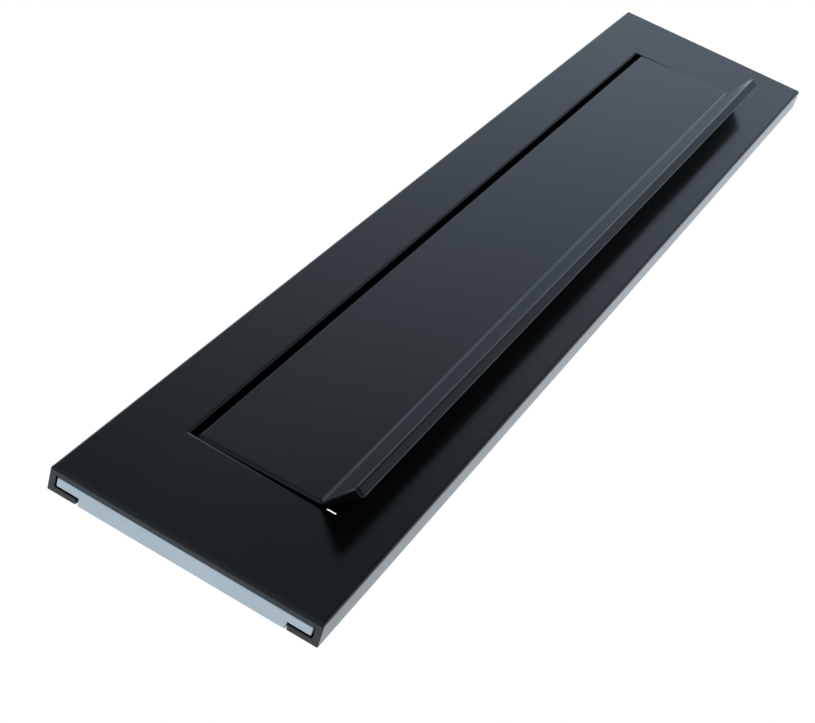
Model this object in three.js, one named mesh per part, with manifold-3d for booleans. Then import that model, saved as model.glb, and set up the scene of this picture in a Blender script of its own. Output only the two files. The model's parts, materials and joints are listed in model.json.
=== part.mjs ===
// A letter plate for a door: a channel-shaped cover with a long aperture, and a sprung flap with a finger lip.
// Millimetres. X runs along the plate, the front faces -Y, the hinge side is up (+Z).
// The origin is the middle of the upper return flange's back face, which meets the door.

import * as THREE from 'three';
import { mergeVertices } from 'three/addons/utils/BufferGeometryUtils.js';
import Module from 'manifold-3d';

const wasm = await Module();
wasm.setup();

// Cover: a channel profile with the aperture cut through its face.
const LENGTH = 400;
const WIDTH = 80;
const DEPTH = 8;
const FACE_WALL = 2.4;
const WALL = 2;
const RETURN_REACH = 9;
const FRONT_RADIUS = 1.1;
const BACK_RADIUS = 0.25;
const INNER_RADIUS = 0.2;
const UPPER_TIP_RADIUS = 0.9;
const LOWER_TIP_RADIUS = 0.35;
const CUT_END_RADIUS = 0.35;
const FRONT_END_REACH = 0.95;
const FRONT_END_DROP = 1.25;
const FRONT_END_FLATNESS = 1.5;
const APERTURE_LENGTH = 329.6;
const APERTURE_TOP_Z = 21.95;
const APERTURE_BOTTOM_Z = -22.4;
const APERTURE_MOUTH_RADIUS = 0.9;
const APERTURE_END_EASE = 1.1;
const APERTURE_END_DROP = 0.11;
const APERTURE_CORNER = 0.25;

// Flap: a plate that stands proud along its free edge, with a lip that thickens to its tip.
const FLAP_END_GAP = 0.3;
const FLAP_END_REACH = 1.1;
const FLAP_END_INSET = 0.85;
const FLAP_HINGE_Z = 19.55;
const FLAP_HINGE_PROUD = 0.25;
const FLAP_BEND_Z = -18.15;
const FLAP_BEND_PROUD = 1.35;
const FLAP_THICKNESS = 2;
const LIP_TIP_Z = -25.95;
const LIP_TIP_PROUD = 11.9;
const LIP_EDGE_Z = -28.65;
const LIP_EDGE_PROUD = 9.8;
const LIP_ROOT_Z = -19.7;
const LIP_END_FLARE = 0.7;
const LIP_TIP_RADIUS = 0.8;
const BEND_RADIUS = 1.8;
const EDGE_RADIUS = 0.45;
const ROOT_RADIUS = 0.2;

// Hinge: a rod behind the flap's upper edge, held in the liner.
const AXIS_Y = -3.4;
const AXIS_Z = 16.2;
const ROD_RADIUS = 1.25;
const BORE_RADIUS = 1.6;
const BARREL_RADIUS = 2.4;
const BARREL_NECK = 1.8;
const BARREL_END_X = 154;
const GUARD_RADIUS = 5.6;
const GUARD_THICKNESS = 0.8;
const GUARD_START = 2.5;
const GUARD_END = 1.53;
const ROD_END_X = 170.6;
const ROD_CHAMFER = 0.3;
const CLIP_X = 168.3;
const CLIP_THICKNESS = 0.6;
const CLIP_RADIUS = 1.9;
const CLIP_BORE_RADIUS = 1.1;
const CLIP_HALF_MOUTH = 0.55;
const GROOVE_RADIUS = 0.8;
const WASHER_THICKNESS = 0.9;

// Torsion spring: its tang sits in the liner's end wall, its leg bears on the back of the flap.
const WIRE_RADIUS = 0.35;
const COIL_RADIUS = 2;
const COIL_PITCH = 1.25;
const COIL_TURNS = 5;
const COIL_OUTER_X = 163.9;
const TANG_END_X = 166.9;
const TANG_BEND_RADIUS = 0.6;
const LEG_ANGLE = Math.PI / 4;
const LEG_LENGTH = 5;
const LEG_FOOT = 4;

// Liner: walls behind the aperture's edges, and beads that slide in the channel.
const LINER_SETBACK = 0.4;
const LINER_WALL = 1.4;
const LINER_FRONT_Y = -5.3;
const LINER_WEB = 1.2;
const BEAD_WIDTH = 4.5;
const SLIDE_GAP = 0.5;
const WING_BACK_Y = -2.55;
const LEDGE_EDGE_Z = -16;
const LEDGE_FRONT_Y = -4.6;
const LEDGE_THICKNESS = 1.2;
const LEDGE_END_X = 158.9;
const END_LEDGE_X = 160.7;
const END_LEDGE_TOP_Z = 12.5;

// Seal strip on the back of the flap.
const SEAL_TOP_Z = -16.2;
const SEAL_BOTTOM_Z = -18.6;
const SEAL_END_X = 160;
const SEAL_EDGE_RADIUS = 0.5;

// End blocks, with their screws and threaded inserts.
const BLOCK_INNER_X = 167.4;
const BLOCK_STEM_GAP = 0.3;
const BLOCK_EDGE_RADIUS = 0.3;
const POCKET_END_X = 172;
const POCKET_HALF_HEIGHT = 3;
const FASTENER_X = 183;
const SCREW_Z = 34.5;
const SCREW_RADIUS = 1.3;
const SCREW_HEAD_RADIUS = 2.6;
const SCREW_HEAD_HEIGHT = 1.3;
const SCREW_RIM = 0.15;
const SCREW_SUNK = 0.1;
const SCREW_LENGTH = 4.7;
const SCREW_POINT = 0.4;
const SCREW_SOCKET_RADIUS = 1;
const SCREW_SOCKET_DEPTH = 0.9;
const SCREW_CLEARANCE = 0.35;
const SCREW_HOLE_DEPTH = 5.4;
const INSERT_RADIUS = 3.6;
const INSERT_FLANGE_RADIUS = 4.4;
const INSERT_FLANGE_THICKNESS = 0.8;
const INSERT_THREAD_RADIUS = 2.1;
const INSERT_CHAMFER = 0.4;
const INSERT_SUNK = 0.05;
const INSERT_LENGTH = 4.8;

// Clearance between neighbouring pieces that don't touch.
const GAP = 0.3;

const ROUND = 24;
const SMALLEST_RADIUS = 0.05;
const OVERCUT = 1;
const ENDS = [['left', -1], ['right', 1]];

const coated = { color: 0x191b1d, roughness: 0.38, metalness: 0.3 };
const paleBlock = { color: 0xb4bfc9, roughness: 0.7, metalness: 0 };
const blackMoulding = { color: 0x0c0c0c, roughness: 0.65, metalness: 0 };
const blackRubber = { color: 0x0a0a0a, roughness: 0.85, metalness: 0 };
const whiteNylon = { color: 0xdedcd2, roughness: 0.6, metalness: 0 };
const plainSteel = { color: 0xa9abad, roughness: 0.35, metalness: 0.9 };
const springSteel = { color: 0x6f7173, roughness: 0.3, metalness: 0.95 };
const brass = { color: 0xc29a4b, roughness: 0.35, metalness: 0.95 };

// Turns local x, y, z into Y, Z, X, so that a section drawn in (Y, Z) is extruded along X.
const SECTION_TO_PART = new THREE.Matrix4().makeBasis(
  new THREE.Vector3(0, 1, 0),
  new THREE.Vector3(0, 0, 1),
  new THREE.Vector3(1, 0, 0),
);

// A closed outline through (Y, Z) corners, each [y, z, radius], with its rounded corners as arcs.
function roundedOutline(corners, steps = 4) {
  const points = [];
  corners.forEach(([y, z, radius = 0], i) => {
    const corner = new THREE.Vector2(y, z);
    const [by, bz] = corners[(i + corners.length - 1) % corners.length];
    const [ay, az] = corners[(i + 1) % corners.length];
    const toBefore = new THREE.Vector2(by, bz).sub(corner).normalize();
    const toAfter = new THREE.Vector2(ay, az).sub(corner).normalize();
    if (radius === 0) {
      points.push(corner);
      return;
    }
    const half = Math.acos(THREE.MathUtils.clamp(toBefore.dot(toAfter), -1, 1)) / 2;
    const bisector = toBefore.clone().add(toAfter).normalize();
    const centre = corner.clone().addScaledVector(bisector, radius / Math.sin(half));
    const start = corner.clone().addScaledVector(toBefore, radius / Math.tan(half)).sub(centre);
    const sweep = (Math.PI - 2 * half) * Math.sign(start.cross(bisector.clone().negate()));
    for (let k = 0; k <= steps; k += 1) {
      const turned = start.clone().rotateAround(new THREE.Vector2(), (sweep * k) / steps);
      points.push(centre.clone().add(turned));
    }
  });
  return points;
}

// The same corners with every side moved inwards, and the radii changed to suit.
function insetCorners(corners, distance) {
  const area = THREE.ShapeUtils.area(corners.map(([y, z]) => new THREE.Vector2(y, z)));
  const inward = Math.sign(area);
  return corners.map(([y, z, radius = 0], i) => {
    const corner = new THREE.Vector2(y, z);
    const [by, bz] = corners[(i + corners.length - 1) % corners.length];
    const [ay, az] = corners[(i + 1) % corners.length];
    const before = corner.clone().sub(new THREE.Vector2(by, bz)).normalize();
    const after = new THREE.Vector2(ay, az).sub(corner).normalize();
    const normal = new THREE.Vector2(-before.y, before.x).multiplyScalar(inward);
    const nextNormal = new THREE.Vector2(-after.y, after.x).multiplyScalar(inward);
    const reach = distance / (1 + normal.dot(nextNormal));
    corner.addScaledVector(normal, reach).addScaledVector(nextNormal, reach);
    const convex = before.cross(after) * inward > 0;
    const changed = Math.max(radius + (convex ? -distance : distance), SMALLEST_RADIUS);
    return [corner.x, corner.y, radius === 0 ? 0 : changed];
  });
}

// A closed solid through rings of points, each ring in a plane across X, in order of rising X.
function lofted(rings) {
  const count = rings[0].length;
  const vertices = rings.flat();
  const index = [];
  const outline = rings[0].map((point) => new THREE.Vector2(point.y, point.z));
  const turned = THREE.ShapeUtils.area(outline) < 0;
  const triangle = (a, b, c) => index.push(...(turned ? [a, c, b] : [a, b, c]));
  for (let i = 0; i < rings.length - 1; i += 1) {
    for (let k = 0; k < count; k += 1) {
      const a = i * count + k;
      const b = i * count + ((k + 1) % count);
      triangle(a, b, b + count);
      triangle(a, b + count, a + count);
    }
  }
  const lastRing = (rings.length - 1) * count;
  const lastOutline = rings[rings.length - 1].map((point) => new THREE.Vector2(point.y, point.z));
  addCap(index, outline, 0, true);
  addCap(index, lastOutline, lastRing, false);
  const geometry = new THREE.BufferGeometry().setFromPoints(vertices);
  geometry.setIndex(index);
  return geometry;
}

// Fills an outline with triangles whose front looks towards +X, or towards -X.
function addCap(index, outline, offset, towardsMinusX) {
  THREE.ShapeUtils.triangulateShape(outline, []).forEach(([a, b, c]) => {
    const corners = [outline[a], outline[b], outline[c]];
    const facesPlusX = THREE.ShapeUtils.area(corners) > 0;
    const keep = facesPlusX !== towardsMinusX;
    index.push(offset + a, offset + (keep ? b : c), offset + (keep ? c : b));
  });
}

// A bar along X whose cut ends are rounded over: by inset across the bar and by reach along it.
function roundedBar(corners, x0, x1, inset, reach = inset, steps = 4) {
  const near = [];
  const far = [];
  for (let k = 0; k <= steps; k += 1) {
    const turn = (Math.PI / 2) * (k / steps);
    const outline = roundedOutline(insetCorners(corners, inset * (1 - Math.sin(turn))));
    const set = reach * (1 - Math.cos(turn));
    near.push(outline.map((point) => new THREE.Vector3(x0 + set, point.x, point.y)));
    far.unshift(outline.map((point) => new THREE.Vector3(x1 - set, point.x, point.y)));
  }
  return lofted([...near, ...far]);
}

function alongX(outline, x0, x1, holes = []) {
  const shape = new THREE.Shape(outline);
  shape.holes.push(...holes.map((hole) => new THREE.Path(hole)));
  const geometry = new THREE.ExtrudeGeometry(shape, { depth: x1 - x0, bevelEnabled: false });
  return geometry.applyMatrix4(SECTION_TO_PART).translate(x0, 0, 0);
}

function circle(y, z, radius, segments = ROUND) {
  const points = [];
  for (let k = 0; k < segments; k += 1) {
    const angle = (2 * Math.PI * k) / segments;
    points.push(new THREE.Vector2(y + radius * Math.cos(angle), z + radius * Math.sin(angle)));
  }
  return points;
}

function box(x0, x1, y0, y1, z0, z1) {
  const geometry = new THREE.BoxGeometry(x1 - x0, y1 - y0, z1 - z0);
  return geometry.translate((x0 + x1) / 2, (y0 + y1) / 2, (z0 + z1) / 2);
}

// A turned solid on an axis through (x, z) that runs along Y; profile points are [radius, y].
function turnedAlongY(profile, x, z, segments = ROUND) {
  const points = profile.map(([radius, y]) => new THREE.Vector2(radius, y));
  return new THREE.LatheGeometry(points, segments).translate(x, 0, z);
}

// A turned solid on the hinge axis; profile points are [radius, x].
function turnedAlongHinge(profile, segments = ROUND) {
  const points = profile.map(([radius, x]) => new THREE.Vector2(radius, x));
  const geometry = new THREE.LatheGeometry(points, segments);
  return geometry.rotateZ(-Math.PI / 2).translate(0, AXIS_Y, AXIS_Z);
}

function toSolid(geometry) {
  const bare = geometry.clone();
  bare.deleteAttribute('normal');
  bare.deleteAttribute('uv');
  const merged = mergeVertices(bare, 1e-4);
  return new wasm.Manifold(new wasm.Mesh({
    numProp: 3,
    vertProperties: new Float32Array(merged.attributes.position.array),
    triVerts: new Uint32Array(merged.index.array),
  }));
}

function toGeometry(solid) {
  const mesh = solid.getMesh();
  const geometry = new THREE.BufferGeometry();
  geometry.setAttribute('position', new THREE.BufferAttribute(mesh.vertProperties, 3));
  geometry.setIndex(new THREE.BufferAttribute(mesh.triVerts, 1));
  return geometry;
}

function joined(geometries) {
  return geometries.map(toSolid).reduce((sum, solid) => sum.add(solid));
}

function cut(solid, geometries) {
  return geometries.map(toSolid).reduce((rest, tool) => rest.subtract(tool), solid);
}

function piece(name, geometry, look) {
  const flat = geometry.index ? geometry.toNonIndexed() : geometry;
  flat.computeVertexNormals();
  const mesh = new THREE.Mesh(flat, new THREE.MeshStandardMaterial(look));
  mesh.name = name;
  return mesh;
}

// Places of the four screws and the two inserts, as [x, z].
const screwPlaces = [-1, 1].flatMap((sx) => [1, -1].map((sz) => [sx * FASTENER_X, sz * SCREW_Z]));
const insertPlaces = [-1, 1].map((sx) => [sx * FASTENER_X, 0]);

function screwHole(x, z) {
  const shank = SCREW_RADIUS + SCREW_CLEARANCE;
  const head = SCREW_HEAD_RADIUS + SCREW_CLEARANCE;
  return turnedAlongY([
    [0, -SCREW_HOLE_DEPTH],
    [shank, -SCREW_HOLE_DEPTH],
    [shank, -SCREW_HEAD_HEIGHT],
    [head, 0],
    [head, OVERCUT],
    [0, OVERCUT],
  ], x, z);
}

// Cuts the aperture through the face: a box with chamfered corners whose mouth flares, over a quarter round
// along its sides and over a shallow ease at its ends. It is lofted through the depth, as points (Y, Z, X).
function apertureCutter(steps = 4) {
  const ring = (sunk, y) => {
    const across = APERTURE_MOUTH_RADIUS - sunk;
    const spread = APERTURE_MOUTH_RADIUS - Math.sqrt(APERTURE_MOUTH_RADIUS ** 2 - across ** 2);
    const eased = 1 - Math.sqrt(Math.min(sunk / APERTURE_END_DROP, 1));
    const x = APERTURE_LENGTH / 2 + APERTURE_END_EASE * eased;
    const top = APERTURE_TOP_Z + spread;
    const bottom = APERTURE_BOTTOM_Z - spread;
    const corner = APERTURE_CORNER;
    return [
      [bottom + corner, -x], [bottom, corner - x], [bottom, x - corner], [bottom + corner, x],
      [top - corner, x], [top, x - corner], [top, corner - x], [top - corner, -x],
    ].map(([z, along]) => new THREE.Vector3(y, z, along));
  };
  const rings = [ring(0, -DEPTH - OVERCUT)];
  for (let k = 0; k <= steps; k += 1) {
    const sunk = APERTURE_END_DROP * (k / steps) ** 2;
    rings.push(ring(sunk, sunk - DEPTH));
  }
  const from = Math.acos(1 - APERTURE_END_DROP / APERTURE_MOUTH_RADIUS);
  for (let k = 1; k <= steps; k += 1) {
    const turn = THREE.MathUtils.lerp(from, Math.PI / 2, k / steps);
    const sunk = APERTURE_MOUTH_RADIUS * (1 - Math.cos(turn));
    rings.push(ring(sunk, sunk - DEPTH));
  }
  rings.push(ring(APERTURE_MOUTH_RADIUS, -DEPTH / 2));
  return lofted(rings).applyMatrix4(SECTION_TO_PART);
}

// Eases the front edge of a cut end: a bar along Z with a hollow side, between a quarter round and a chamfer.
function frontEndRounder(side, steps = 6) {
  const end = LENGTH / 2;
  const start = end - FRONT_END_REACH;
  const points = [];
  for (let k = 0; k <= steps; k += 1) {
    const turn = (Math.PI / 2) * (k / steps);
    const x = start + FRONT_END_REACH * Math.sin(turn) ** FRONT_END_FLATNESS;
    const y = FRONT_END_DROP * (1 - Math.cos(turn) ** FRONT_END_FLATNESS) - DEPTH;
    points.push(new THREE.Vector2(side * x, y));
  }
  points.push(new THREE.Vector2(side * (end + OVERCUT), FRONT_END_DROP - DEPTH));
  points.push(new THREE.Vector2(side * (end + OVERCUT), -DEPTH - OVERCUT));
  points.push(new THREE.Vector2(side * start, -DEPTH - OVERCUT));
  const depth = WIDTH + 2 * OVERCUT;
  const geometry = new THREE.ExtrudeGeometry(new THREE.Shape(points), { depth, bevelEnabled: false });
  return geometry.translate(0, 0, -depth / 2);
}

function facePlate() {
  const top = WIDTH / 2;
  const tip = top - RETURN_REACH;
  const inner = top - WALL;
  const channel = toSolid(roundedBar([
    [0, top, BACK_RADIUS],
    [-DEPTH, top, FRONT_RADIUS],
    [-DEPTH, -top, FRONT_RADIUS],
    [0, -top, BACK_RADIUS],
    [0, -tip, LOWER_TIP_RADIUS],
    [-WALL, -tip, LOWER_TIP_RADIUS],
    [-WALL, -inner, INNER_RADIUS],
    [-DEPTH + FACE_WALL, -inner, INNER_RADIUS],
    [-DEPTH + FACE_WALL, inner, INNER_RADIUS],
    [-WALL, inner, INNER_RADIUS],
    [-WALL, tip, UPPER_TIP_RADIUS],
    [0, tip, UPPER_TIP_RADIUS],
  ], -LENGTH / 2, LENGTH / 2, CUT_END_RADIUS));
  const holes = screwPlaces.map(([x, z]) => screwHole(x, z));
  const rounders = [-1, 1].map((side) => frontEndRounder(side));
  return toGeometry(cut(channel, [apertureCutter(), ...rounders, ...holes]));
}

// Depth of the flap's outer surface at a height z between its hinge edge and its bend.
function flapFrontY(z) {
  const share = (FLAP_HINGE_Z - z) / (FLAP_HINGE_Z - FLAP_BEND_Z);
  return -DEPTH - FLAP_HINGE_PROUD - share * (FLAP_BEND_PROUD - FLAP_HINGE_PROUD);
}

function flapBackY(z) {
  return flapFrontY(z) + FLAP_THICKNESS;
}

function barrelSection() {
  const rise = Math.sqrt(BARREL_RADIUS ** 2 - BARREL_NECK ** 2);
  const rootY = flapFrontY(AXIS_Z) + FLAP_THICKNESS / 2;
  const outline = [
    new THREE.Vector2(rootY, AXIS_Z + BARREL_NECK),
    new THREE.Vector2(AXIS_Y - rise, AXIS_Z + BARREL_NECK),
  ];
  const from = Math.atan2(BARREL_NECK, -rise);
  const sweep = 2 * from;
  for (let k = 1; k < ROUND; k += 1) {
    const angle = from - (sweep * k) / ROUND;
    outline.push(new THREE.Vector2(
      AXIS_Y + BARREL_RADIUS * Math.cos(angle),
      AXIS_Z + BARREL_RADIUS * Math.sin(angle),
    ));
  }
  outline.push(new THREE.Vector2(AXIS_Y - rise, AXIS_Z - BARREL_NECK));
  outline.push(new THREE.Vector2(rootY, AXIS_Z - BARREL_NECK));
  return outline;
}

// A curved guard round the hinge axis, which closes the gap above the flap's upper edge.
function guardSection(steps = 10) {
  const arc = (radius) => {
    const points = [];
    for (let k = 0; k <= steps; k += 1) {
      const angle = THREE.MathUtils.lerp(GUARD_START, GUARD_END, k / steps);
      points.push(new THREE.Vector2(
        AXIS_Y + radius * Math.cos(angle),
        AXIS_Z + radius * Math.sin(angle),
      ));
    }
    return points;
  };
  return [...arc(GUARD_RADIUS), ...arc(GUARD_RADIUS - GUARD_THICKNESS).reverse()];
}

// Stretches the ends of the lip, so that it grows a little longer towards its tip.
function flareLip(geometry) {
  const position = geometry.attributes.position;
  const bendY = -DEPTH - FLAP_BEND_PROUD;
  for (let i = 0; i < position.count; i += 1) {
    const share = Math.max(bendY - position.getY(i), 0) / (LIP_TIP_PROUD - FLAP_BEND_PROUD);
    const x = position.getX(i);
    position.setX(i, x + Math.sign(x) * LIP_END_FLARE * share);
  }
  return geometry;
}

function flap() {
  const end = APERTURE_LENGTH / 2 - FLAP_END_GAP;
  const plate = flareLip(roundedBar([
    [flapFrontY(FLAP_HINGE_Z), FLAP_HINGE_Z, EDGE_RADIUS],
    [flapBackY(FLAP_HINGE_Z), FLAP_HINGE_Z, EDGE_RADIUS],
    [flapBackY(LIP_ROOT_Z), LIP_ROOT_Z, ROOT_RADIUS],
    [-DEPTH - LIP_EDGE_PROUD, LIP_EDGE_Z, EDGE_RADIUS],
    [-DEPTH - LIP_TIP_PROUD, LIP_TIP_Z, LIP_TIP_RADIUS],
    [-DEPTH - FLAP_BEND_PROUD, FLAP_BEND_Z, BEND_RADIUS],
  ], -end, end, FLAP_END_INSET, FLAP_END_REACH));
  const bore = circle(AXIS_Y, AXIS_Z, BORE_RADIUS);
  const barrel = alongX(barrelSection(), -BARREL_END_X, BARREL_END_X, [bore]);
  const guard = alongX(guardSection(), GAP - end, end - GAP);
  return toGeometry(joined([plate, barrel, guard]));
}

function flapSealStrip() {
  const back = LEDGE_FRONT_Y - GAP;
  const profile = roundedOutline([
    [flapBackY(SEAL_TOP_Z) + GAP, SEAL_TOP_Z],
    [back, SEAL_TOP_Z, SEAL_EDGE_RADIUS],
    [back, SEAL_BOTTOM_Z, SEAL_EDGE_RADIUS],
    [flapBackY(SEAL_BOTTOM_Z) + GAP, SEAL_BOTTOM_Z],
  ]);
  return alongX(profile, -SEAL_END_X, SEAL_END_X);
}

function hingeRod() {
  const grooveInner = CLIP_X - GAP;
  const grooveOuter = CLIP_X + CLIP_THICKNESS + GAP;
  const half = [
    [ROD_RADIUS, grooveInner],
    [GROOVE_RADIUS, grooveInner],
    [GROOVE_RADIUS, grooveOuter],
    [ROD_RADIUS, grooveOuter],
    [ROD_RADIUS, ROD_END_X - ROD_CHAMFER],
    [ROD_RADIUS - ROD_CHAMFER, ROD_END_X],
    [0, ROD_END_X],
  ];
  const mirrored = half.map(([radius, x]) => [radius, -x]).reverse();
  return turnedAlongHinge([...mirrored, ...half]);
}

// An open retaining ring, with its mouth towards the back.
function rodClip(side) {
  const arc = (radius) => {
    const points = [];
    const sweep = 2 * (Math.PI - CLIP_HALF_MOUTH);
    for (let k = 0; k <= ROUND; k += 1) {
      const angle = CLIP_HALF_MOUTH + (sweep * k) / ROUND;
      points.push(new THREE.Vector2(
        AXIS_Y + radius * Math.cos(angle),
        AXIS_Z + radius * Math.sin(angle),
      ));
    }
    return points;
  };
  const ring = [...arc(CLIP_RADIUS), ...arc(CLIP_BORE_RADIUS).reverse()];
  const inner = side * CLIP_X;
  const outer = side * (CLIP_X + CLIP_THICKNESS);
  return alongX(ring, Math.min(inner, outer), Math.max(inner, outer));
}

function hingeWasher(side) {
  const near = side * (BARREL_END_X + GAP);
  const far = near + side * WASHER_THICKNESS;
  const x0 = Math.min(near, far);
  const x1 = Math.max(near, far);
  const hole = circle(AXIS_Y, AXIS_Z, BORE_RADIUS);
  return alongX(circle(AXIS_Y, AXIS_Z, BARREL_RADIUS), x0, x1, [hole]);
}

// The spring's centre line: tang along X, a bend, the coil, the leg and its foot along the flap.
function springPoints(side) {
  const points = [];
  const place = (x, radius, angle) => new THREE.Vector3(
    side * x,
    AXIS_Y + radius * Math.cos(angle),
    AXIS_Z - radius * Math.sin(angle),
  );
  points.push(place(TANG_END_X, COIL_RADIUS, 0));
  const bendSteps = 4;
  for (let k = 0; k <= bendSteps; k += 1) {
    const turn = (Math.PI / 2) * (k / bendSteps);
    const x = COIL_OUTER_X + TANG_BEND_RADIUS * (1 - Math.sin(turn));
    const along = (TANG_BEND_RADIUS / COIL_RADIUS) * (1 - Math.cos(turn));
    points.push(place(x, COIL_RADIUS, along));
  }
  const coilStart = TANG_BEND_RADIUS / COIL_RADIUS;
  const coilEnd = 2 * Math.PI * COIL_TURNS + LEG_ANGLE;
  const coilSteps = 14 * COIL_TURNS;
  for (let k = 1; k <= coilSteps; k += 1) {
    const angle = coilStart + ((coilEnd - coilStart) * k) / coilSteps;
    const turns = (angle - coilStart) / (2 * Math.PI);
    points.push(place(COIL_OUTER_X - COIL_PITCH * turns, COIL_RADIUS, angle));
  }
  const end = points[points.length - 1];
  const knee = end.clone().add(new THREE.Vector3(
    0,
    -LEG_LENGTH * Math.sin(LEG_ANGLE),
    -LEG_LENGTH * Math.cos(LEG_ANGLE),
  ));
  const foot = new THREE.Vector3(
    knee.x,
    flapBackY(knee.z - LEG_FOOT) + GAP + WIRE_RADIUS,
    knee.z - LEG_FOOT,
  );
  points.push(end.clone().lerp(knee, 0.5), end.clone().lerp(knee, 0.92));
  points.push(knee.clone().lerp(foot, 0.15), foot);
  return points;
}

// A wire swept through points, built ring by ring so that tight bends stay closed and clean.
function sweptWire(points, radius, sides = 8) {
  const rings = [];
  let normal = null;
  points.forEach((point, i) => {
    const before = points[Math.max(i - 1, 0)];
    const after = points[Math.min(i + 1, points.length - 1)];
    const tangent = after.clone().sub(before).normalize();
    const helper = normal ?? new THREE.Vector3(0, 1, 0.2).normalize();
    normal = helper.clone().addScaledVector(tangent, -helper.dot(tangent)).normalize();
    const binormal = new THREE.Vector3().crossVectors(tangent, normal);
    const ring = [];
    for (let k = 0; k < sides; k += 1) {
      const angle = (2 * Math.PI * k) / sides;
      ring.push(point.clone()
        .addScaledVector(normal, radius * Math.cos(angle))
        .addScaledVector(binormal, radius * Math.sin(angle)));
    }
    rings.push(ring);
  });
  const vertices = [...rings.flat(), points[0], points[points.length - 1]];
  const index = [];
  const first = vertices.length - 2;
  const last = vertices.length - 1;
  for (let i = 0; i < rings.length - 1; i += 1) {
    for (let k = 0; k < sides; k += 1) {
      const a = i * sides + k;
      const b = i * sides + ((k + 1) % sides);
      index.push(a, b, a + sides, b, b + sides, a + sides);
    }
  }
  const lastRing = (rings.length - 1) * sides;
  for (let k = 0; k < sides; k += 1) {
    const next = (k + 1) % sides;
    index.push(first, next, k);
    index.push(last, lastRing + k, lastRing + next);
  }
  const geometry = new THREE.BufferGeometry().setFromPoints(vertices);
  geometry.setIndex(index);
  return geometry;
}

function torsionSpring(side) {
  return sweptWire(springPoints(side), WIRE_RADIUS);
}

function apertureLiner() {
  const innerTop = APERTURE_TOP_Z + LINER_SETBACK;
  const innerBottom = APERTURE_BOTTOM_Z - LINER_SETBACK;
  const innerX = APERTURE_LENGTH / 2 + LINER_SETBACK;
  const outerX = innerX + LINER_WALL;
  const beadZ = WIDTH / 2 - WALL - SLIDE_GAP;
  const front = LINER_FRONT_Y;
  const web = box(-outerX, outerX, front, front + LINER_WEB, -beadZ, beadZ);
  const tube = box(-outerX, outerX, front, 0, innerBottom - LINER_WALL, innerTop + LINER_WALL);
  const upperBead = box(-outerX, outerX, front, WING_BACK_Y, beadZ - BEAD_WIDTH, beadZ);
  const lowerBead = box(-outerX, outerX, front, WING_BACK_Y, -beadZ, BEAD_WIDTH - beadZ);
  const hollow = box(-innerX, innerX, front - OVERCUT, OVERCUT, innerBottom, innerTop);
  const frame = cut(joined([web, tube, upperBead, lowerBead]), [hollow]);
  const ledgeFoot = innerBottom - LINER_WALL / 2;
  const ledgeBack = LEDGE_FRONT_Y + LEDGE_THICKNESS;
  const ledge = box(-LEDGE_END_X, LEDGE_END_X, LEDGE_FRONT_Y, ledgeBack, ledgeFoot, LEDGE_EDGE_Z);
  const endLedges = [-1, 1].map((side) => {
    const [x0, x1] = [side * END_LEDGE_X, side * (innerX + LINER_WALL / 2)].sort((a, b) => a - b);
    return box(x0, x1, LEDGE_FRONT_Y, ledgeBack, ledgeFoot, END_LEDGE_TOP_Z);
  });
  const ledged = frame.add(joined([ledge, ...endLedges]));
  const rodHole = alongX(circle(AXIS_Y, AXIS_Z, BORE_RADIUS), -LENGTH / 2, LENGTH / 2);
  const tangRadius = 2 * WIRE_RADIUS;
  const tangHole = alongX(circle(AXIS_Y + COIL_RADIUS, AXIS_Z, tangRadius), -LENGTH / 2, LENGTH / 2);
  return toGeometry(cut(ledged, [rodHole, tangHole]));
}

function insertSeat(x, z) {
  const body = INSERT_RADIUS + GAP;
  const flange = INSERT_FLANGE_RADIUS + GAP;
  const step = -INSERT_FLANGE_THICKNESS - GAP;
  return turnedAlongY([
    [0, -DEPTH], [body, -DEPTH], [body, step], [flange, step], [flange, OVERCUT], [0, OVERCUT],
  ], x, z);
}

function endBlock(side) {
  const wingZ = WIDTH / 2 - WALL - SLIDE_GAP;
  const stemZ = WIDTH / 2 - RETURN_REACH - BLOCK_STEM_GAP;
  const inner = side * BLOCK_INNER_X;
  const outer = side * (LENGTH / 2);
  const body = toSolid(roundedBar([
    [LINER_FRONT_Y, wingZ, BLOCK_EDGE_RADIUS],
    [LINER_FRONT_Y, -wingZ, BLOCK_EDGE_RADIUS],
    [WING_BACK_Y, -wingZ, BLOCK_EDGE_RADIUS],
    [WING_BACK_Y, -stemZ],
    [0, -stemZ, BLOCK_EDGE_RADIUS],
    [0, stemZ, BLOCK_EDGE_RADIUS],
    [WING_BACK_Y, stemZ],
    [WING_BACK_Y, wingZ, BLOCK_EDGE_RADIUS],
  ], Math.min(inner, outer), Math.max(inner, outer), BLOCK_EDGE_RADIUS - SMALLEST_RADIUS));
  const pocketX = [side * (BLOCK_INNER_X - OVERCUT), side * POCKET_END_X].sort((a, b) => a - b);
  const pocket = box(
    ...pocketX, -DEPTH, OVERCUT, AXIS_Z - POCKET_HALF_HEIGHT, AXIS_Z + POCKET_HALF_HEIGHT,
  );
  const onSide = ([x]) => Math.sign(x) === side;
  const holes = screwPlaces.filter(onSide).map(([x, z]) => screwHole(x, z));
  const seats = insertPlaces.filter(onSide).map(([x, z]) => insertSeat(x, z));
  return toGeometry(cut(body, [pocket, ...holes, ...seats]));
}

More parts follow.
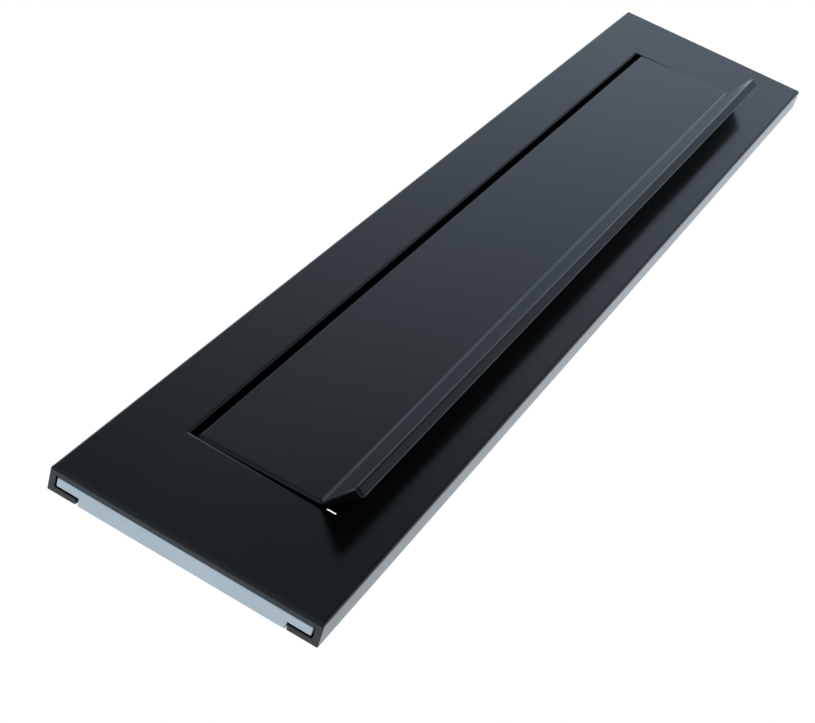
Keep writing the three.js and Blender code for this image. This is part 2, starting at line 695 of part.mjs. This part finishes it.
function blockScrew(x, z) {
  const rim = -SCREW_SUNK;
  const end = rim - SCREW_LENGTH;
  const screw = toSolid(turnedAlongY([
    [0, end],
    [SCREW_RADIUS - SCREW_POINT, end],
    [SCREW_RADIUS, end + SCREW_POINT],
    [SCREW_RADIUS, rim - SCREW_HEAD_HEIGHT],
    [SCREW_HEAD_RADIUS, rim - SCREW_RIM],
    [SCREW_HEAD_RADIUS, rim],
    [0, rim],
  ], x, z));
  const socket = turnedAlongY([
    [0, rim - SCREW_SOCKET_DEPTH],
    [SCREW_SOCKET_RADIUS, rim - SCREW_SOCKET_DEPTH],
    [SCREW_SOCKET_RADIUS, OVERCUT],
    [0, OVERCUT],
  ], x, z, 6);
  return toGeometry(cut(screw, [socket]));
}

function fixingInsert(x, z) {
  const rim = -INSERT_SUNK;
  const end = rim - INSERT_LENGTH;
  return turnedAlongY([
    [INSERT_THREAD_RADIUS, end],
    [INSERT_RADIUS, end],
    [INSERT_RADIUS, rim - INSERT_FLANGE_THICKNESS],
    [INSERT_FLANGE_RADIUS, rim - INSERT_FLANGE_THICKNESS],
    [INSERT_FLANGE_RADIUS, rim],
    [INSERT_THREAD_RADIUS + INSERT_CHAMFER, rim],
    [INSERT_THREAD_RADIUS, rim - INSERT_CHAMFER],
    [INSERT_THREAD_RADIUS, end],
  ], x, z);
}

const letterPlate = new THREE.Group();

const frameGroup = new THREE.Group();
frameGroup.add(piece('face_plate', facePlate(), coated));
frameGroup.add(piece('aperture_liner', apertureLiner(), blackMoulding));
frameGroup.add(piece('hinge_rod', hingeRod(), plainSteel));
ENDS.forEach(([end, side], i) => {
  frameGroup.add(piece(`end_block_${end}`, endBlock(side), paleBlock));
  frameGroup.add(piece(`rod_clip_${end}`, rodClip(side), springSteel));
  frameGroup.add(piece(`hinge_washer_${end}`, hingeWasher(side), whiteNylon));
  frameGroup.add(piece(`torsion_spring_${end}`, torsionSpring(side), springSteel));
  frameGroup.add(piece(`fixing_insert_${end}`, fixingInsert(...insertPlaces[i]), brass));
  ['top', 'bottom'].forEach((row, j) => {
    const [x, z] = screwPlaces[2 * i + j];
    frameGroup.add(piece(`block_screw_${end}_${row}`, blockScrew(x, z), plainSteel));
  });
});

const flapGroup = new THREE.Group();
flapGroup.add(piece('flap', flap(), coated));
flapGroup.add(piece('flap_seal_strip', flapSealStrip(), blackRubber));

letterPlate.add(frameGroup, flapGroup);
letterPlate.position.z = (RETURN_REACH - WIDTH) / 2;

export default letterPlate;
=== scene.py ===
"""A black letter plate on a white surface.

This adds materials, rounded edges, springs, threaded inserts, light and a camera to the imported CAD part.
Lengths are in metres. X runs along the plate, its front faces -Y and its hinge side is +Z. The plate lies
with its back on the white surface at Y = 0, so -Y is the way up from that surface.
"""

import json
import math

import bmesh
import bpy
from mathutils import Matrix, Vector


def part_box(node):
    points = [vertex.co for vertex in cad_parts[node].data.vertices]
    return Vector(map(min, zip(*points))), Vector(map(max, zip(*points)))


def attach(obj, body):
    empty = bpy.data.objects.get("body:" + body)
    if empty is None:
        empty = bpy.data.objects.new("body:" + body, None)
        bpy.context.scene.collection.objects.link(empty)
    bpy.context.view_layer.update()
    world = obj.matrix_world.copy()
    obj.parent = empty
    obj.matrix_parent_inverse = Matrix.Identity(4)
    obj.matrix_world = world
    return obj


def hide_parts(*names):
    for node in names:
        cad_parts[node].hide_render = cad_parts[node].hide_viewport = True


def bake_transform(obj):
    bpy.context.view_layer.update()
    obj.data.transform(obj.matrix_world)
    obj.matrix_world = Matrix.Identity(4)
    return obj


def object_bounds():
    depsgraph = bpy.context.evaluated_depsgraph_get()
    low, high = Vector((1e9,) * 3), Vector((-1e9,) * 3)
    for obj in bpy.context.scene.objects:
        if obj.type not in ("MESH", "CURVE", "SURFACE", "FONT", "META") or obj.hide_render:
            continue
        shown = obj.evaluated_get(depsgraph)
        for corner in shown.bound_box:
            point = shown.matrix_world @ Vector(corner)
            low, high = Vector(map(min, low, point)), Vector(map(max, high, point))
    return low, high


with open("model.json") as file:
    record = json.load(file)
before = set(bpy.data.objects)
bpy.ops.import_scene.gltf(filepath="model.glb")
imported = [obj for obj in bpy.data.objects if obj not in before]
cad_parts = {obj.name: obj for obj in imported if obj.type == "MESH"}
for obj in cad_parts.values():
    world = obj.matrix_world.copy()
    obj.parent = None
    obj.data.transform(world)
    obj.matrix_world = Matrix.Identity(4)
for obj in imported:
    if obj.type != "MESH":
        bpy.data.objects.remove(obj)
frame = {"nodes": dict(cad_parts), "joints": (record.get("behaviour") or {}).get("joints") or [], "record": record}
CAD_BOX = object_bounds()
NODES = frame["nodes"]

MM = 0.001
LEFT_END = CAD_BOX[0].x
TOP_EDGE = CAD_BOX[1].z
BACK_Y = CAD_BOX[1].y
FACE_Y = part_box("face_plate")[0].y
HALF_LENGTH = (CAD_BOX[1].x - CAD_BOX[0].x) / 2
HALF_WIDTH = (CAD_BOX[1].z - CAD_BOX[0].z) / 2
CENTRE_Z = (CAD_BOX[1].z + CAD_BOX[0].z) / 2


# Node trees


class Tree:
    """A short way to write a node tree.

    A value given to a node is a number, a colour or another node's output.
    """

    def __init__(self, tree):
        self.tree = tree
        tree.nodes.clear()

    def put(self, socket, value):
        """Links the socket to value if value is a node's output, or else sets it."""
        if isinstance(value, bpy.types.NodeSocket):
            self.tree.links.new(value, socket)
        else:
            socket.default_value = value

    def put_all(self, sockets, values):
        """Puts each value in the socket of the same rank."""
        for socket, value in zip(sockets, values):
            self.put(socket, value)

    def add(self, kind, settings=None, **inputs):
        """Adds a node. An underscore in the name of an input stands for a space."""
        node = self.tree.nodes.new(kind)
        for name, value in (settings or {}).items():
            setattr(node, name, value)
        for name, value in inputs.items():
            self.put(node.inputs[name.replace("_", " ")], value)
        return node

    def calculate(self, operation, *values):
        """The result of a Math node."""
        node = self.add("ShaderNodeMath", {"operation": operation})
        self.put_all(node.inputs, values)
        return node.outputs[0]

    def spread(self, value, low, high, start=0.3, stop=0.7):
        """Goes evenly from low to high while value goes from start to stop, and stays there beyond them."""
        node = self.add("ShaderNodeMapRange")
        self.put_all(node.inputs, (value, start, stop, low, high))
        return node.outputs[0]

    def ramp(self, value, stops):
        """A colour that changes with value. Each stop is a position and the colour there."""
        node = self.add("ShaderNodeValToRGB")
        self.put(node.inputs[0], value)
        elements = node.color_ramp.elements
        while len(elements) < len(stops):
            elements.new(1.0)
        for element, (position, colour) in zip(elements, stops):
            element.position = position
            element.color = (*colour, 1.0)
        return node.outputs[0]

    def grey_ramp(self, value, stops):
        """A ramp of greys. Each stop is a position and the level there."""
        return self.ramp(value, [(position, (level, level, level)) for position, level in stops])

    def noise(self, scale, detail=3.0, vector=None, roughness=0.5):
        """Noise with about scale features to the metre, over the piece unless a vector is given."""
        vector = vector or self.add("ShaderNodeTexCoord").outputs["Object"]
        node = self.add("ShaderNodeTexNoise", Vector=vector, Scale=scale, Detail=detail, Roughness=roughness)
        return node.outputs["Fac"]

    def bump(self, height, distance, strength, normal=None):
        """A normal that is tilted by height, on top of another normal if one is given."""
        node = self.add("ShaderNodeBump", Height=height, Distance=distance, Strength=strength)
        if normal is not None:
            self.put(node.inputs["Normal"], normal)
        return node.outputs["Normal"]

    def mix_colours(self, share, first, second):
        """The first colour where share is 0, and the second where it is 1."""
        node = self.add("ShaderNodeMix", {"data_type": "RGBA"})
        self.put_all((node.inputs["Factor"], node.inputs[6], node.inputs[7]), (share, first, second))
        return node.outputs[2]

    def mix_shaders(self, share, first, second):
        """The first shader where share is 0, and the second where it is 1."""
        node = self.add("ShaderNodeMixShader")
        self.put_all(node.inputs, (share, first.outputs[0], second.outputs[0]))
        return node.outputs[0]

    def show(self, kind, surface):
        """Makes surface the result of the tree. The kind is the output node's."""
        self.put(self.add(kind).inputs["Surface"], surface)


def new_material(name):
    """An empty material and its node tree."""
    material = bpy.data.materials.new(name)
    material.use_nodes = True
    return material, Tree(material.node_tree)


def finish_material(tree, **inputs):
    """Ends the tree with one Principled shader."""
    shader = tree.add("ShaderNodeBsdfPrincipled", **inputs)
    tree.show("ShaderNodeOutputMaterial", shader.outputs[0])


# Materials


def coated_black():
    """Satin black coating, with a fine orange peel, slightly uneven gloss and a slightly uneven black."""
    material, tree = new_material("satin_black_coating")
    peel = tree.noise(900.0, detail=2.0)
    grain = tree.noise(5200.0, detail=1.0)
    patches = tree.noise(28.0, detail=4.0)
    roughness = tree.spread(patches, 0.18, 0.22)
    colour = tree.ramp(patches, [(0.3, (0.0013, 0.0013, 0.0009)), (0.7, (0.0019, 0.0018, 0.0013))])
    coarse = tree.bump(peel, 0.008 * MM, 0.4)
    normal = tree.bump(grain, 0.0015 * MM, 0.4, coarse)
    finish_material(tree, Base_Color=colour, Roughness=roughness, IOR=1.5, Normal=normal)
    return material


def black_moulding():
    """Black moulded plastic with a spark-eroded grain."""
    material, tree = new_material("black_moulded_plastic")
    grain = tree.noise(2600.0, detail=3.0)
    patches = tree.noise(40.0, detail=3.0)
    colour = tree.grey_ramp(patches, [(0.3, 0.0040), (0.7, 0.0075)])
    roughness = tree.spread(patches, 0.55, 0.68)
    normal = tree.bump(grain, 0.03 * MM, 0.6)
    finish_material(tree, Base_Color=colour, Roughness=roughness, Normal=normal)
    return material


def pale_block():
    """Pale blue-grey plastic, matt, with a faint mottle and a fine grain."""
    material, tree = new_material("pale_grey_plastic")
    patches = tree.noise(60.0, detail=5.0)
    grain = tree.noise(3000.0, detail=2.0)
    colour = tree.ramp(patches, [(0.3, (0.570, 0.618, 0.651)), (0.7, (0.624, 0.675, 0.709))])
    roughness = tree.spread(grain, 0.60, 0.75)
    normal = tree.bump(grain, 0.02 * MM, 0.5)
    finish_material(tree, Base_Color=colour, Roughness=roughness, Normal=normal)
    return material


def black_rubber():
    """Black sponge rubber with open pores."""
    material, tree = new_material("black_sponge_rubber")
    pores = tree.noise(1800.0, detail=4.0, roughness=0.7)
    colour = tree.grey_ramp(pores, [(0.35, 0.004), (0.65, 0.012)])
    normal = tree.bump(pores, 0.08 * MM, 0.8)
    finish_material(tree, Base_Color=colour, Roughness=0.85, Normal=normal)
    return material


def white_nylon():
    """Natural nylon, off-white and faintly mottled."""
    material, tree = new_material("natural_nylon")
    mottle = tree.noise(300.0, detail=3.0)
    grain = tree.noise(4000.0)
    colour = tree.ramp(mottle, [(0.3, (0.70, 0.68, 0.60)), (0.7, (0.80, 0.79, 0.72))])
    normal = tree.bump(grain, 0.01 * MM, 0.5)
    finish_material(tree, Base_Color=colour, Roughness=0.5, Normal=normal)
    return material


def metal(name, dark, light, roughness):
    """A turned or drawn metal: fine lines along X, uneven gloss and a slight tarnish."""
    material, tree = new_material(name)
    place = tree.add("ShaderNodeTexCoord").outputs["Object"]
    drawn = tree.add("ShaderNodeMapping", Vector=place, Scale=(0.04, 1.0, 1.0)).outputs[0]
    streaks = tree.noise(5000.0, detail=3.0, vector=drawn)
    tarnish = tree.noise(350.0, detail=4.0)
    colour = tree.ramp(tarnish, [(0.3, dark), (0.7, light)])
    gloss = tree.spread(streaks, roughness - 0.06, roughness + 0.08)
    normal = tree.bump(streaks, 0.01 * MM, 0.5)
    finish_material(tree, Base_Color=colour, Metallic=1.0, Roughness=gloss, Normal=normal)
    return material


SLOT_MATERIALS = {
    "coated_cover": coated_black(),
    "black_moulding": black_moulding(),
    "pale_block": pale_block(),
    "black_rubber": black_rubber(),
    "white_nylon": white_nylon(),
    "plain_steel": metal("zinc_plated_steel", (0.50, 0.51, 0.52), (0.62, 0.63, 0.64), 0.30),
    "spring_steel": metal("spring_steel", (0.20, 0.20, 0.21), (0.32, 0.32, 0.33), 0.26),
    "brass": metal("brass", (0.60, 0.42, 0.16), (0.74, 0.55, 0.26), 0.30),
}
SLOT_MATERIALS["coated_flap"] = SLOT_MATERIALS["coated_cover"]


def give_material(piece, slot):
    """Gives a piece the material of one of the record's slots."""
    piece.data.materials.clear()
    piece.data.materials.append(SLOT_MATERIALS[slot])


for subpart in frame["record"]["subparts"]:
    give_material(NODES[subpart["node"]], subpart["material_slot"])


# Rounded edges

WELD_DISTANCE = 0.002 * MM
FLAT_ANGLE = math.radians(0.5)
ROUNDING_SEGMENTS = 2
LARGE_FACE_WEIGHT = 80


def shade_smooth(mesh):
    """Shades every face of the mesh smooth."""
    for polygon in mesh.polygons:
        polygon.use_smooth = True


def soften(node, width, least_angle=28.0):
    """Rounds a CAD node's edges by width (mm) where its faces turn by least_angle (degrees) or more."""
    piece = NODES[node]
    weld = piece.modifiers.new("weld", "WELD")
    weld.merge_threshold = WELD_DISTANCE
    flat = piece.modifiers.new("flat", "DECIMATE")
    flat.decimate_type = "DISSOLVE"
    flat.angle_limit = FLAT_ANGLE
    bevel = piece.modifiers.new("edges", "BEVEL")
    bevel.width = width * MM
    bevel.segments = ROUNDING_SEGMENTS
    bevel.limit_method = "ANGLE"
    bevel.angle_limit = math.radians(least_angle)
    shade_smooth(piece.data)
    smooth = piece.modifiers.new("smooth", "WEIGHTED_NORMAL")
    smooth.weight = LARGE_FACE_WEIGHT


soften("face_plate", 0.12)
soften("flap", 0.12)
soften("aperture_liner", 0.2)
soften("hinge_rod", 0.08, least_angle=40.0)
soften("flap_seal_strip", 0.15, least_angle=40.0)
for end in ("left", "right"):
    soften(f"end_block_{end}", 0.15)
    soften(f"hinge_washer_{end}", 0.12, least_angle=40.0)
    soften(f"rod_clip_{end}", 0.06, least_angle=40.0)
    for row in ("top", "bottom"):
        soften(f"block_screw_{end}_{row}", 0.08, least_angle=20.0)


# Pieces built here

SHARP_ANGLE = math.radians(50.0)


def mesh_piece(name, vertices, faces, slot):
    """A closed smooth piece whose faces look outwards and whose steep edges are sharp."""
    mesh = bpy.data.meshes.new(name)
    mesh.from_pydata(vertices, [], faces)
    mesh.validate()
    shell = bmesh.new()
    shell.from_mesh(mesh)
    bmesh.ops.recalc_face_normals(shell, faces=shell.faces)
    shell.to_mesh(mesh)
    shell.free()
    shade_smooth(mesh)
    mesh.set_sharp_from_angle(angle=SHARP_ANGLE)
    piece = bpy.data.objects.new(name, mesh)
    bpy.context.scene.collection.objects.link(piece)
    give_material(piece, slot)
    return piece


def faces_between(rings, sides, closed):
    """Quads between rings of points that follow each other, and from the last to the first if closed."""
    faces = []
    for row in range(rings if closed else rings - 1):
        here = row * sides
        after = (row + 1) % rings * sides
        for side in range(sides):
            beside = (side + 1) % sides
            faces.append((here + side, here + beside, after + beside, after + side))
    return faces


WIRE_RADIUS = 0.35 * MM
WIRE_SIDES = 14
WIRE_END_RINGS = ((0.5, 0.55), (0.325, 0.9))


def wire_through(points):
    """The vertices and faces of a closed round wire through points.

    Two smaller rings round off each end. WIRE_END_RINGS gives how far past the end each one lies and its
    size, in radii, with the outermost first.
    """
    last = len(points) - 1
    rings = [(0, -past, size) for past, size in WIRE_END_RINGS]
    rings += [(index, 0.0, 1.0) for index in range(last + 1)]
    rings += [(last, past, size) for past, size in reversed(WIRE_END_RINGS)]
    normal = Vector((0.0, 1.0, 0.2))
    vertices = []
    for index, past, size in rings:
        tangent = (points[min(index + 1, last)] - points[max(index - 1, 0)]).normalized()
        normal = (normal - tangent * normal.dot(tangent)).normalized()
        across = tangent.cross(normal)
        centre = points[index] + tangent * past * WIRE_RADIUS
        for side in range(WIRE_SIDES):
            angle = 2.0 * math.pi * side / WIRE_SIDES
            spoke = normal * math.cos(angle) + across * math.sin(angle)
            vertices.append(centre + spoke * WIRE_RADIUS * size)
    first_cap = tuple(reversed(range(WIRE_SIDES)))
    last_cap = tuple(range(len(vertices) - WIRE_SIDES, len(vertices)))
    faces = [first_cap, *faces_between(len(rings), WIRE_SIDES, closed=False), last_cap]
    return vertices, faces


HINGE = next(joint for joint in frame["joints"] if joint["name"] == "flap_hinge")
AXIS = Vector(HINGE["pos_m"])
TANG_LENGTH = 3.0 * MM
TANG_BEND_RADIUS = 0.6 * MM
TANG_BEND_STEPS = 8
COIL_RADIUS = 2.0 * MM
COIL_PITCH = 1.25 * MM
COIL_TURNS = 5
COIL_STEPS = 32 * COIL_TURNS
LEG_ANGLE = math.pi / 4
LEG_LENGTH = 5.0 * MM
KNEE_START = 0.9
KNEE_END = 0.12
QUARTERS = (0.25, 0.5, 0.75, 1.0)


def torsion_spring(end, side):
    """A tang along X, a coil round the rod, then a leg and a foot on the flap's back.
    """
    low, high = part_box(f"torsion_spring_{end}")
    tang_end = max(abs(low.x), abs(high.x))
    coil_outer = tang_end - TANG_LENGTH

    def on_coil(x, angle):
        y = AXIS.y + COIL_RADIUS * math.cos(angle)
        z = AXIS.z - COIL_RADIUS * math.sin(angle)
        return Vector((side * x, y, z))

    bend_angle = TANG_BEND_RADIUS / COIL_RADIUS
    points = [on_coil(tang_end, 0.0)]
    for step in range(TANG_BEND_STEPS + 1):
        turn = math.pi / 2 * step / TANG_BEND_STEPS
        x = coil_outer + TANG_BEND_RADIUS * (1.0 - math.sin(turn))
        points.append(on_coil(x, bend_angle * (1.0 - math.cos(turn))))
    coil_angle = 2.0 * math.pi * COIL_TURNS + LEG_ANGLE - bend_angle
    for step in range(1, COIL_STEPS + 1):
        wound = coil_angle * step / COIL_STEPS
        points.append(on_coil(coil_outer - COIL_PITCH * wound / (2.0 * math.pi), bend_angle + wound))

    leg_start = points[-1]
    knee = leg_start + Vector((0.0, -math.sin(LEG_ANGLE), -math.cos(LEG_ANGLE))) * LEG_LENGTH
    foot = Vector((knee.x, low.y + WIRE_RADIUS, low.z))
    above_knee = leg_start.lerp(knee, KNEE_START)
    below_knee = knee.lerp(foot, KNEE_END)
    points += [leg_start.lerp(knee, share) for share in (0.25, 0.5, 0.75)]
    points.append(above_knee)
    points += [above_knee.lerp(knee, share).lerp(knee.lerp(below_knee, share), share) for share in QUARTERS]
    points += [knee.lerp(foot, share) for share in (0.3, 0.6, 1.0)]

    vertices, faces = wire_through(points)
    spring = mesh_piece(f"spring_{end}", vertices, faces, "spring_steel")
    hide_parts(f"torsion_spring_{end}")
    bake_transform(spring)


THREAD_RADIUS = 2.1 * MM
THREAD_CREST_RADIUS = 2.05 * MM
THREAD_PITCH = 0.8 * MM
THREAD_HEIGHT = 0.4 * MM
BORE_CHAMFER = 0.5 * MM
BORE_STEPS = 40
KNURLS = 24
KNURL_HEIGHT = 0.12 * MM
INSERT_SIDES = 4 * KNURLS
FLANGE_THICKNESS = 0.8 * MM
FLANGE_OVERHANG = 0.8 * MM
FLANGE_EDGE = 0.15 * MM
BODY_CHAMFER = 0.4 * MM


def threaded_insert(end):
    """A brass insert: a knurled flange on a plain body, and a screw thread inside that ends in chamfers."""
    low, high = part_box(f"fixing_insert_{end}")
    centre = (low + high) / 2
    flange = (high.x - low.x) / 2 - KNURL_HEIGHT
    body = flange - FLANGE_OVERHANG
    flange_foot = high.y - FLANGE_THICKNESS
    angles = [2.0 * math.pi * side / INSERT_SIDES for side in range(INSERT_SIDES)]

    def bore_radius(y, angle):
        climb = (y - low.y) / THREAD_PITCH - angle / (2.0 * math.pi)
        ridge = abs((climb % 1.0) * 2.0 - 1.0)
        depth = min(high.y - y, y - low.y)
        clear = THREAD_CREST_RADIUS + max(BORE_CHAMFER - depth, 0.0)
        return max(THREAD_RADIUS + THREAD_HEIGHT * (ridge - 0.5), clear)

    rings = []
    for step in range(BORE_STEPS + 1):
        y = low.y + (high.y - low.y) * step / BORE_STEPS
        rings.append((y, [bore_radius(y, angle) for angle in angles]))
    for y, radius, knurl in (
        (high.y, flange - FLANGE_EDGE, 0.0),
        (high.y - FLANGE_EDGE, flange, KNURL_HEIGHT),
        (flange_foot + FLANGE_EDGE, flange, KNURL_HEIGHT),
        (flange_foot, flange - FLANGE_EDGE, 0.0),
        (flange_foot, body, 0.0),
        (low.y + BODY_CHAMFER, body, 0.0),
        (low.y, body - BODY_CHAMFER, 0.0),
    ):
        rings.append((y, [radius + knurl * abs(math.sin(KNURLS / 2 * angle)) for angle in angles]))

    vertices = []
    for y, radii in rings:
        for angle, radius in zip(angles, radii):
            vertices.append((centre.x + radius * math.cos(angle), y, centre.z + radius * math.sin(angle)))
    faces = faces_between(len(rings), INSERT_SIDES, closed=True)
    insert = mesh_piece(f"threaded_insert_{end}", vertices, faces, "brass")
    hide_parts(f"fixing_insert_{end}")
    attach(insert, "frame")


for end, side in (("left", -1), ("right", 1)):
    torsion_spring(end, side)
    threaded_insert(end)


# Surface, light and camera

WHITE = (1.0, 1.0, 1.0, 1.0)
SURFACE_HALF_SIZE = 3.0
SURFACE_GAP = 0.02 * MM
SURFACE_IN_REFLECTIONS = (0.99, 1.10, 1.17, 1.0)
SURFACE_SECOND_BOUNCE = 0.3


def white_surface():
    """The white surface under the plate, which glows evenly.

    The part of it that the plate covers lights nothing, though the camera still sees it white. It is dimmer
    in a second reflection, and isn't there from below or for light that has already come through it.
    """
    far = SURFACE_HALF_SIZE
    mesh = bpy.data.meshes.new("white_surface")
    corners = [(-far, 0, -far), (far, 0, -far), (far, 0, far), (-far, 0, far)]
    mesh.from_pydata(corners, [], [(0, 1, 2, 3)])
    surface = bpy.data.objects.new("white_surface", mesh)
    surface.location.y = BACK_Y + SURFACE_GAP
    bpy.context.scene.collection.objects.link(surface)

    material, tree = new_material("white_surface")
    place = tree.add("ShaderNodeNewGeometry")
    ray = tree.add("ShaderNodeLightPath")
    axes = tree.add("ShaderNodeSeparateXYZ", Vector=place.outputs["Position"])
    along = tree.calculate("ABSOLUTE", axes.outputs["X"])
    across = tree.calculate("ABSOLUTE", tree.calculate("SUBTRACT", axes.outputs["Z"], CENTRE_Z))
    past_end = tree.calculate("GREATER_THAN", along, HALF_LENGTH)
    past_side = tree.calculate("GREATER_THAN", across, HALF_WIDTH)
    uncovered = tree.calculate("MAXIMUM", past_end, past_side)
    bounced = tree.spread(ray.outputs["Ray Depth"], 1.0, SURFACE_SECOND_BOUNCE, start=1.0, stop=2.0)
    lit = tree.calculate("MULTIPLY", uncovered, bounced)
    strength = tree.calculate("MAXIMUM", lit, ray.outputs["Is Camera Ray"])
    tint = tree.mix_colours(ray.outputs["Is Camera Ray"], SURFACE_IN_REFLECTIONS, WHITE)
    glow = tree.add("ShaderNodeEmission", Color=tint, Strength=strength)
    clear = tree.add("ShaderNodeBsdfTransparent")
    come_through = tree.calculate("GREATER_THAN", ray.outputs["Transparent Depth"], 0.5)
    absent = tree.calculate("MAXIMUM", place.outputs["Backfacing"], come_through)
    tree.show("ShaderNodeOutputMaterial", tree.mix_shaders(absent, glow, clear))
    mesh.materials.append(material)


# Brightness of the backdrop by height: 0.5 is level with the surface and 1.0 is overhead.
AHEAD = (
    (0.500, 1.00), (0.660, 1.00), (0.695, 0.93), (0.722, 0.80), (0.754, 0.66), (0.794, 0.43),
    (0.813, 0.31), (0.828, 0.23), (0.860, 0.23), (0.930, 0.30), (1.000, 0.36),
)
BEHIND = ((0.50, 0.55), (0.88, 0.50), (1.00, 0.36))
BACKDROP_TINT = ((0.72, (0.82, 1.0, 1.22)), (0.84, (0.82, 1.0, 1.12)))
LIP_SIDE_LEVEL = 0.45
HINGE_SIDE_LEVEL = 0.62


def studio_world():
    """A backdrop that the camera sees white.

    As light it is a pale blue, bright low over the surface ahead of the camera and darker overhead, dimmer
    towards both sides, and more even behind the camera.
    """
    world = bpy.data.worlds.new("studio")
    world.use_nodes = True
    bpy.context.scene.world = world
    tree = Tree(world.node_tree)
    direction = tree.add("ShaderNodeTexCoord").outputs["Generated"]
    axes = tree.add("ShaderNodeSeparateXYZ", Vector=direction)
    height = tree.spread(axes.outputs["Y"], 1.0, 0.0, start=-1.0, stop=1.0)
    backwards = tree.spread(axes.outputs["X"], 1.0, 0.0, start=-0.5, stop=0.1)
    level = tree.mix_colours(backwards, tree.grey_ramp(height, AHEAD), tree.grey_ramp(height, BEHIND))
    lip_side = tree.spread(axes.outputs["Z"], LIP_SIDE_LEVEL, 1.0, start=-0.35, stop=0.30)
    hinge_side = tree.spread(axes.outputs["Z"], 1.0, HINGE_SIDE_LEVEL, start=0.35, stop=0.56)
    sides = tree.calculate("MULTIPLY", lip_side, hinge_side)
    strength = tree.calculate("MULTIPLY", level, sides)
    tint = tree.ramp(height, BACKDROP_TINT)
    light = tree.add("ShaderNodeBackground", Color=tint, Strength=strength)
    white = tree.add("ShaderNodeBackground", Color=WHITE)
    seen = tree.add("ShaderNodeLightPath").outputs["Is Camera Ray"]
    tree.show("ShaderNodeOutputWorld", tree.mix_shaders(seen, light, white))


SENSOR_WIDTH_MM = 36.0
LENS_MM = 78.26
CLIP_START = 0.01
CAMERA_PLACE = Vector((LEFT_END - 0.2894, FACE_Y - 0.2951, TOP_EDGE - 0.1684))
CAMERA_RIGHT = Vector((0.45268, -0.25407, -0.85471))
CAMERA_FORWARD = Vector((0.77888, 0.57931, 0.24032))


def camera():
    """The photo's view, from beyond the left end and on the lip's side, with the hinge side to the left."""
    data = bpy.data.cameras.new("camera")
    data.sensor_width = SENSOR_WIDTH_MM
    data.lens = LENS_MM
    data.clip_start = CLIP_START
    holder = bpy.data.objects.new("camera", data)
    bpy.context.scene.collection.objects.link(holder)
    forward = CAMERA_FORWARD.normalized()
    up = CAMERA_RIGHT.cross(forward).normalized()
    right = forward.cross(up)
    turn = Matrix((right, up, -forward)).transposed()
    holder.matrix_world = Matrix.Translation(CAMERA_PLACE) @ turn.to_4x4()
    bpy.context.scene.camera = holder


white_surface()
studio_world()
camera()
bpy.context.scene.view_settings.view_transform = "Standard"
